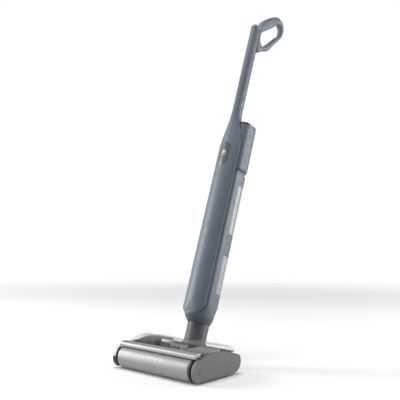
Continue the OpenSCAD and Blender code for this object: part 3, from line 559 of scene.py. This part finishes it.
# Levels of the section: an oval below, wider by a power of the height, turning to the D by a smooth step.
def buildTankHousing():
    half, rear = housingHigh[0], housingHigh[1]
    front = housingValues["front"]
    section = dOutline(half, front, rear, housingValues["frontRound"], housingValues["rearRound"], 0.0)
    window = housingValues["windowFront"]
    # the column next to the window edge is moved on to it
    for sign in (1.0, -1.0):
        nearest = np.argmin(np.where(section[:, 0] * sign > half - 1.0, np.abs(section[:, 1] - window), 1e3))
        section[nearest, 1] = window
    bottom, top = housingLow[2], housingHigh[2]
    gap = housingValues["windowGap"]
    gaps = [(dirtyLow[2] - gap, dirtyLidHigh[2] + gap), (cleanLow[2] - gap, cleanLidHigh[2] + gap)]
    levels = np.unique(np.concatenate([
        np.linspace(bottom, housingValues["cheekTop"], 46),
        np.linspace(130.0, top - housingValues["shoulder"], 60),
        np.ravel(gaps), np.ravel(gaps) + 6.0,
        top - housingValues["shoulder"] * (1.0 - np.sin(np.linspace(0.0, np.pi / 2, 6)))]))
    foot, belly = housingValues["bowlHalf"], housingValues["bowlBelly"]
    rows = []
    for level in levels:
        round_ = np.clip((housingValues["bowlTop"] - level) / (housingValues["bowlTop"] - bottom), 0.0, 1.0)
        width = half - (half - foot) * round_ ** housingValues["bowlPower"]
        rearReach = rear - (rear - foot) * round_ ** housingValues["bowlPower"]
        frontReach = foot + belly * (1.0 - round_ ** housingValues["bellyPower"])
        share = smoothStep(level, housingValues["cheekStart"], housingValues["cheekTop"])
        oval = ovalOutline(section, width, frontReach, rearReach)
        oval[:, 1] = np.where(oval[:, 1] < 0.0, np.maximum(oval[:, 1], -frontReach), oval[:, 1])
        fold = max(0.0, level - (top - housingValues["shoulder"]))
        inset = housingValues["shoulder"] - math.sqrt(max(0.0, housingValues["shoulder"] ** 2 - fold ** 2))
        target = section if inset < 1e-6 else dOutline(
            half, front, rear, housingValues["frontRound"], housingValues["rearRound"], inset)
        rows.append(oval + (target - oval) * share)
    rows = np.array(rows)
    last = dOutline(half, front, rear, housingValues["frontRound"], housingValues["rearRound"],
                    housingValues["topInset"])[None]
    rows = np.concatenate([rows, last], axis=0)
    levels = np.append(levels, top)
    points = fromStick(rows[..., 0], rows[..., 1], levels[:, None])
    centreUp = (levels[1:] + levels[:-1]) / 2
    middle = (section + np.roll(section, -1, axis=0)) / 2
    behind = middle[:, 1] > window - 0.2
    hole = np.zeros((len(centreUp), len(section)), bool)
    for low, high in gaps:
        hole |= ((centreUp > low) & (centreUp < high))[:, None] & behind[None, :]
    piece = gridPiece("tankHousing", points, closedColumns=True, keep=~hole)
    wall = piece.modifiers.new("wall", "SOLIDIFY")
    wall.thickness = housingValues["wall"] * mm
    wall.offset = -1.0
    return settle(piece, shellBlue, "upright", stands=("tank_housing",), sharp=40)


buildTankHousing()

# motor housing: the same section over the notch, with a rounded foot
motorValues = {"frontRound": 22.0, "rearRound": 26.0, "notch": 9.0, "foot": 9.0, "brow": 1.5, "neckInset": 6.0}


# Levels of the section, drawn in at the foot and the brow by a quarter circle.
def buildMotorHousing():
    half, rear, front = motorHigh[0], motorHigh[1], housingValues["front"]
    start, top = housingHigh[2] + motorValues["notch"], motorHigh[2]
    foot, brow, neck = motorValues["foot"], motorValues["brow"], motorValues["neckInset"]
    turn = np.linspace(0.0, np.pi / 2, 9)
    levels = np.concatenate([[housingHigh[2] - 1.0, start], start + 0.2 + foot * (1 - np.cos(turn)),
                             np.linspace(start + foot + 4.0, top - brow - 3.0, 26),
                             top - brow + brow * np.sin(turn[::2]), [top]])
    insets = np.concatenate([[neck, neck], neck * (1 - np.sin(turn)), np.zeros(26),
                             brow * (1 - np.cos(turn[::2])), [brow + 3.0]])
    rows = np.array([dOutline(half, front, rear, motorValues["frontRound"], motorValues["rearRound"], inset)
                     for inset in insets])
    points = fromStick(rows[..., 0], rows[..., 1], levels[:, None])
    piece = gridPiece("motorHousing", points, closedColumns=True)
    return settle(piece, shellBlue, "upright", stands=("motor_housing",), sharp=35)


buildMotorHousing()

# rear half of the stick, widening under the panel's shoulders
stickValues = {"inset": 0.9, "rearRound": 9.0, "start": 575.0, "lip": 1.2, "tuck": 15.0, "tuckEnd": 655.0,
               "jointWide": 3.2, "jointDeep": 3.0, "topRound": 10.0}


# Half width follows the panel; the section is straight from the groove, then a quarter circle to the back.
def buildStickBack():
    rear, top = stickHigh[1], stickHigh[2]
    topRound = stickValues["topRound"]
    levels = np.concatenate([np.linspace(stickValues["start"], 720.0, 44),
                             np.linspace(728.0, top - topRound, 40),
                             top - topRound + topRound * np.sin(np.linspace(0.0, np.pi / 2, 9))[1:]])
    tuck = stickValues["tuck"] * (1.0 - smoothStep(levels, stickValues["start"], stickValues["tuckEnd"]))
    half = coverHalf(levels) - stickValues["inset"] - tuck
    groove = coverFront + coverDepth(levels) - stickValues["lip"]
    close = np.clip((levels - (top - topRound)) / topRound, 0.0, 1.0)
    half = half * np.sqrt(np.maximum(0.0, 1.0 - 0.55 * close ** 2))
    back = rear - 6.0 * (1.0 - np.sqrt(np.maximum(0.0, 1.0 - close ** 2)))
    turn = np.linspace(0.0, np.pi / 2, 14)[None, :]
    roundSide = np.minimum(stickValues["rearRound"], half)[:, None]
    side = np.concatenate([np.repeat(half[:, None], 5, axis=1),
                           half[:, None] - roundSide * (1 - np.cos(turn)),
                           np.zeros((len(levels), 1))], axis=1)
    share = np.array([0.0, 0.0, 1.0, 1.0, 1.0])[None, :]
    front = groove[:, None] + stickValues["jointWide"] * np.array([0.0, 0.35, 1.0, 0.0, 0.0])[None, :]
    front[:, 3] += (back - roundSide[:, 0] - groove) * 0.7
    front[:, 4] = back - roundSide[:, 0]
    side[:, :5] -= stickValues["jointDeep"] * (1.0 - share)
    depth = np.concatenate([front, back[:, None] - roundSide * (1 - np.sin(turn)), back[:, None]], axis=1)
    side = np.concatenate([side, -side[:, ::-1][:, 1:]], axis=1)
    depth = np.concatenate([depth, depth[:, ::-1][:, 1:]], axis=1)
    piece = gridPiece("stickBack", fromStick(side, depth, levels[:, None]), closedColumns=True, capEnds=True)
    return settle(piece, shellBlueDark, "upright", stands=("stick_back",), sharp=50)


buildStickBack()
print("housings and stick built")

# loop handle: one soft-edged band round the opening, thicker along the top
loopValues = {"halfWide": 10.0, "softness": 3.2, "stations": 150, "around": 32}
# inner point and outer point, rearward and upward from the top of the stick
loopPairs = [
    [(-13.5, -13.0), (-22.0, 2.0)], [(-14.5, -22.0), (-22.5, -22.0)], [(-12.5, -31.0), (-22.5, -48.0)],
    [(-7.0, -38.5), (-21.5, -70.0)], [(2.0, -44.5), (-14.0, -79.5)], [(11.0, -45.0), (0.0, -72.0)],
    [(18.0, -38.5), (15.0, -57.0)], [(29.0, -24.5), (37.0, -44.0)], [(45.4, -3.6), (56.2, -14.0)],
    [(60.0, 17.6), (72.4, 10.5)], [(72.4, 32.0), (84.5, 30.0)], [(79.3, 39.0), (90.4, 44.0)],
    [(81.5, 48.5), (92.4, 56.0)], [(79.9, 59.6), (92.8, 70.0)], [(74.0, 67.8), (88.2, 84.0)],
    [(67.1, 72.6), (77.2, 92.0)], [(61.0, 72.4), (61.0, 96.0)], [(53.0, 64.0), (44.9, 91.5)],
    [(38.0, 45.0), (25.0, 77.0)], [(18.0, 24.0), (3.0, 55.0)], [(0.0, 5.0), (-13.0, 37.5)],
    [(-8.0, -4.0), (-20.5, 22.0)]]


# Each station runs from its inner to its outer point; across and side are a rounded square round that line.
def buildLoop():
    pairs = np.array(loopPairs).reshape(len(loopPairs), 4)
    path = smoothCurve(pairs, loopValues["stations"], closed=True)
    inner, outer = path[:, :2], path[:, 2:]
    middle, reach = (inner + outer) / 2, (outer - inner) / 2
    turn = np.linspace(0.0, 2 * np.pi, loopValues["around"], endpoint=False)
    power = 2.0 / loopValues["softness"]
    across = np.sign(np.cos(turn)) * np.abs(np.cos(turn)) ** power
    side = loopValues["halfWide"] * np.sign(np.sin(turn)) * np.abs(np.sin(turn)) ** power
    back = middle[:, None, 0] + reach[:, None, 0] * across
    up = stickTop + middle[:, None, 1] + reach[:, None, 1] * across
    piece = gridPiece("loopHandle", fromStick(side[None, :], back, up), closedRows=True, closedColumns=True)
    return settle(piece, shellBlue, "upright", stands=("handle_loop",))


buildLoop()
print("handle built")

# floor head: the strip over the roller and the pile
stripLow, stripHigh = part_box("front_strip")
sleeveLow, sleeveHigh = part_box("roller_sleeve")
# rearward and upward from the strip's low front corner, in millimetres, round the section
stripProfile = [[1.2, 5.0], [0.2, 9.5], [0.9, 13.2], [3.2, 15.6], [6.2, 16.4], [12.0, 17.0], [20.0, 17.5],
                [20.0, 14.0], [20.0, 8.6], [14.0, 8.6], [7.5, 7.2], [3.4, 5.0]]


# The section carried along the strip, shrinking to its middle over each end.
def buildStrip():
    section = smoothCurve(stripProfile, 72, closed=True) * mm
    centre = section.mean(axis=0)
    scale = np.array([0.0, 0.5, 0.90, 0.965, 1.0])
    inward = np.array([0.0, 0.0, 0.0, 0.25, 1.0]) * mm
    along = np.concatenate([stripLow[0] + inward,
                            np.linspace(stripLow[0] + 2 * mm, stripHigh[0] - 2 * mm, 22),
                            (stripHigh[0] - inward)[::-1]])
    scale = np.concatenate([scale, np.ones(22), scale[::-1]])
    grid = centre + (section - centre)[None] * scale[:, None, None]
    points = np.stack([np.broadcast_to(along[:, None], grid.shape[:2]), stripLow[1] + grid[..., 0],
                       stripLow[2] + grid[..., 1]], axis=-1)
    piece = gridPiece("rollerStrip", points, closedColumns=True)
    return settle(piece, silverTrim, "head", stands=("front_strip",), sharp=50)


buildStrip()

sleeveValues = {"ripple": 0.12, "endRound": 1.6, "turns": 150, "along": 120}


# Radius along the roller: full, less a round at each end and a shallow spiral, the twelfth power of a cosine.
def buildSleeve():
    centre = np.array([(sleeveLow[1] + sleeveHigh[1]) / 2, (sleeveLow[2] + sleeveHigh[2]) / 2])
    radius = (sleeveHigh[2] - sleeveLow[2]) / 2 / mm
    turn = np.linspace(0.0, 2 * np.pi, sleeveValues["turns"], endpoint=False)[None, :]
    length = (sleeveHigh[0] - sleeveLow[0]) / mm
    endRound = sleeveValues["endRound"]
    slant = np.concatenate([endRound * (1 - np.array([1.0, 1.0, 0.85, 0.5, 0.15])),
                            np.linspace(endRound, length - endRound, sleeveValues["along"]),
                            length - endRound * (1 - np.array([0.15, 0.5, 0.85, 1.0, 1.0]))])
    round_ = np.full(len(slant), radius)
    round_[:5] = radius - np.array([6.0, endRound, 0.75 * endRound, 0.3 * endRound, 0.05 * endRound])
    round_[-5:] = round_[:5][::-1]
    # a faint spiral left by winding the pile strip on to its tube
    spiral = sleeveValues["ripple"] * np.cos(turn + slant[:, None] * 2 * np.pi / 38.0) ** 12
    reach = np.clip((round_ - radius + 3.0) / 3.0, 0.0, 1.0)[:, None]
    radiusGrid = (round_[:, None] - spiral * reach) * mm
    points = np.stack([np.broadcast_to(sleeveLow[0] + slant[:, None] * mm, radiusGrid.shape),
                       centre[0] + radiusGrid * np.cos(turn), centre[1] + radiusGrid * np.sin(turn)], axis=-1)
    piece = gridPiece("pileSleeve", points, closedColumns=True)
    return settle(piece, pile, "roller", stands=("roller_sleeve",), sharp=60)


buildSleeve()
print("roller and strip built")

finishes = {
    "head_chassis": (headGrey, 0.5), "head_deck": (shelfGrey, 0.4), "base_plate": (steelFinish, 0.0),
    "base_screws": (steelFinish, 0.0), "spray_bar": (blackPlastic, 0.3), "scraper": (rubberBlack, 0.0),
    "squeegee": (rubberBlack, 0.0), "suction_duct": (headGrey, 0.0), "motor_cover": (headGrey, 1.5),
    "deck_ribs": (silverTrim, 0.3), "roller_motor": (steelFinish, 0.0), "rotor": (blackPlastic, 0.0),
    "drive_pulley": (blackPlastic, 0.0), "drive_belt": (rubberBlack, 0.0),
    "left_cap_lower": (blackPlastic, 0.8),
    "left_cap_upper": (clearEnd, 0.8), "side_cap": (capGrey, 1.0), "release_button": (capGrey, 0.25),
    "side_bearing": (steelFinish, 0.0), "roller_core": (steelFinish, 0.0), "roller_ring": (blackPlastic, 0.6),
    "roller_hub": (blackPlastic, 0.0), "roller_stub": (steelFinish, 0.0),
    "rear_wheel_left": (rubberBlack, 1.0),
    "rear_wheel_right": (rubberBlack, 1.0), "wheel_axles": (steelFinish, 0.0),
    "charging_contacts": (contactGold, 0.0),
    "head_cover": (clearCover, 0.7), "cover_latches": (blackPlastic, 0.3), "yoke": (neckGrey, 0.4),
    "tilt_pins": (steelFinish, 0.0), "neck_collar": (neckGrey, 0.6), "suction_hose": (rubberBlack, 0.0),
    "neck_tube": (neckGrey, 0.4), "release_tab": (shellBlueDark, 0.4), "display_board": (boardGreen, 0.0),
    "exhaust_rim": (blackPlastic, 0.6), "spine": (steelFinish, 0.0), "power_button": (buttonWhite, 0.5),
    "mode_button": (buttonWhite, 0.5), "clean_button": (buttonWhite, 0.5),
    "suction_motor": (steelFinish, 0.0),
    "impeller": (blackPlastic, 0.0), "exhaust_filter": (filterWhite, 0.0), "battery_pack": (cellBlue, 0.0),
    "main_board": (boardGreen, 0.0), "water_pump": (blackPlastic, 0.0), "clean_tank": (clearTank, 0.0),
    "clean_lid": (shellBlue, 0.4), "dirty_tank": (clearTank, 0.0), "dirty_lid": (shellBlue, 0.4),
    "float_valve": (blackPlastic, 0.3),
}
for nodeName, (finish, edge) in finishes.items():
    dress(nodeName, finish, edge)
print("CAD nodes dressed")

# floor, light and camera
stageValues = {"floorReach": 4.0, "floorTone": 0.86, "fadeFrom": 1.3, "fadeTo": 3.4, "lightTone": 0.34}


# A pale disc that thins out to nothing before its edge, so no edge of it shows.
def buildFloor():
    turn = np.linspace(0.0, 2 * np.pi, 64, endpoint=False)[None, :]
    reach = np.array([0.0, 0.5, 1.0, 2.0, stageValues["floorReach"]])[:, None]
    points = np.stack([reach * np.cos(turn), reach * np.sin(turn), np.zeros((5, 64))], axis=-1)
    floor = gridPiece("studioFloor", points, closedColumns=True)
    tone = stageValues["floorTone"]
    finish = plastic("floorPale", (tone, tone, tone), rough=0.75, grain=0.01, drift=0.006)
    tree = finish.node_tree
    place = next(node for node in tree.nodes if node.type == "TEX_COORD")
    away = tree.nodes.new("ShaderNodeVectorMath")
    away.operation = "LENGTH"
    fade = tree.nodes.new("ShaderNodeMapRange")
    fade.interpolation_type = "SMOOTHERSTEP"
    fade.inputs["From Min"].default_value = stageValues["fadeFrom"]
    fade.inputs["From Max"].default_value = stageValues["fadeTo"]
    fade.inputs["To Min"].default_value = 1.0
    fade.inputs["To Max"].default_value = 0.0
    tree.links.new(place.outputs["Object"], away.inputs[0])
    tree.links.new(away.outputs["Value"], fade.inputs["Value"])
    tree.links.new(fade.outputs["Result"], tree.nodes["Principled BSDF"].inputs["Alpha"])
    floor.data.materials.append(finish)


# White to look at, dimmer as a light, so that the lamps shape the object.
def buildWorld():
    world = bpy.data.worlds.new("studioWorld")
    bpy.context.scene.world = world
    world.use_nodes = True
    tree = world.node_tree
    seen = tree.nodes["Background"]
    seen.inputs["Color"].default_value = (1.0, 1.0, 1.0, 1.0)
    seen.inputs["Strength"].default_value = 1.0
    lit = tree.nodes.new("ShaderNodeBackground")
    lit.inputs["Color"].default_value = (0.97, 0.98, 1.0, 1.0)
    lit.inputs["Strength"].default_value = stageValues["lightTone"]
    path = tree.nodes.new("ShaderNodeLightPath")
    either = tree.nodes.new("ShaderNodeMixShader")
    tree.links.new(path.outputs["Is Camera Ray"], either.inputs[0])
    tree.links.new(lit.outputs[0], either.inputs[1])
    tree.links.new(seen.outputs[0], either.inputs[2])
    tree.links.new(either.outputs[0], tree.nodes["World Output"].inputs["Surface"])


buildFloor()
buildWorld()

# name: place, aim, width and height in metres, watts
lampValues = {
    "keyLeft": ((-2.6, -1.25, 1.1), (0.0, 0.1, 0.5), (0.9, 2.2), 95.0),
    "fillRight": ((1.7, 2.3, 0.9), (0.0, 0.2, 0.5), (0.7, 1.8), 55.0),
    "topSoft": ((0.0, -0.2, 2.7), (0.0, 0.05, 0.1), (1.4, 1.0), 40.0),
}


# Turns a lamp so that its light leaves towards the target.
def aim(thing, target):
    way = np.array(target) - np.array(thing.location)
    thing.rotation_euler = (math.atan2(math.hypot(way[0], way[1]), -way[2]), 0.0, math.atan2(-way[0], way[1]))


for lampName, (place, target, size, watts) in lampValues.items():
    lamp = bpy.data.lights.new(lampName, "AREA")
    lamp.shape = "RECTANGLE"
    lamp.size, lamp.size_y = size
    lamp.energy = watts
    holder = bpy.data.objects.new(lampName, lamp)
    holder.location = place
    bpy.context.scene.collection.objects.link(holder)
    aim(holder, target)

# place in metres, turns in degrees, lens and sensor width in millimetres
cameraValues = {"place": (1.1108, -1.1280, 0.3649), "azimuth": 41.89, "pitch": 3.09, "lens": 53.59,
                "sensor": 36.0}


# A level camera, turned left by the azimuth and up by the pitch.
def buildCamera():
    camera = bpy.data.cameras.new("studioCamera")
    camera.lens = cameraValues["lens"]
    camera.sensor_width = cameraValues["sensor"]
    camera.sensor_fit = "HORIZONTAL"
    camera.clip_start = 0.05
    camera.clip_end = 60.0
    holder = bpy.data.objects.new("studioCamera", camera)
    holder.location = cameraValues["place"]
    holder.rotation_euler = (math.radians(90.0 + cameraValues["pitch"]), 0.0,
                             math.radians(cameraValues["azimuth"]))
    bpy.context.scene.collection.objects.link(holder)
    bpy.context.scene.camera = holder


buildCamera()
bpy.context.scene.view_settings.view_transform = "Standard"
print("stage ready")
